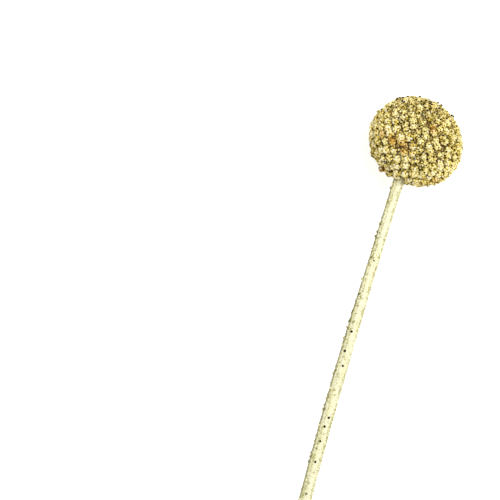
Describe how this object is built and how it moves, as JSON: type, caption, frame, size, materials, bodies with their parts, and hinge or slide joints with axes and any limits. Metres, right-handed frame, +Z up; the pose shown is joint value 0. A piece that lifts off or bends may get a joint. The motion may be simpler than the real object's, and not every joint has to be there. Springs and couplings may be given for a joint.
{
  "type": "billy buttons stem",
  "caption": "Dried billy button: one round head of packed florets on one long bare stem, painted pale gold, lying on a surface.",
  "frame": {"origin": "under the middle of the laid stem's bounding box, on the surface that it lies on", "axes": "+X along the stem towards the head, +Z up from the surface, +Y to the side that the upper stem bows to"},
  "size_m": [0.4, 0.029, 0.0287],
  "materials": {
    "head_paint": "matte",
    "stem_paint": "satin"
  },
  "bodies": {
    "root": {"flower_head": "head_paint", "stem": "stem_paint"}
  },
  "joints": []
}
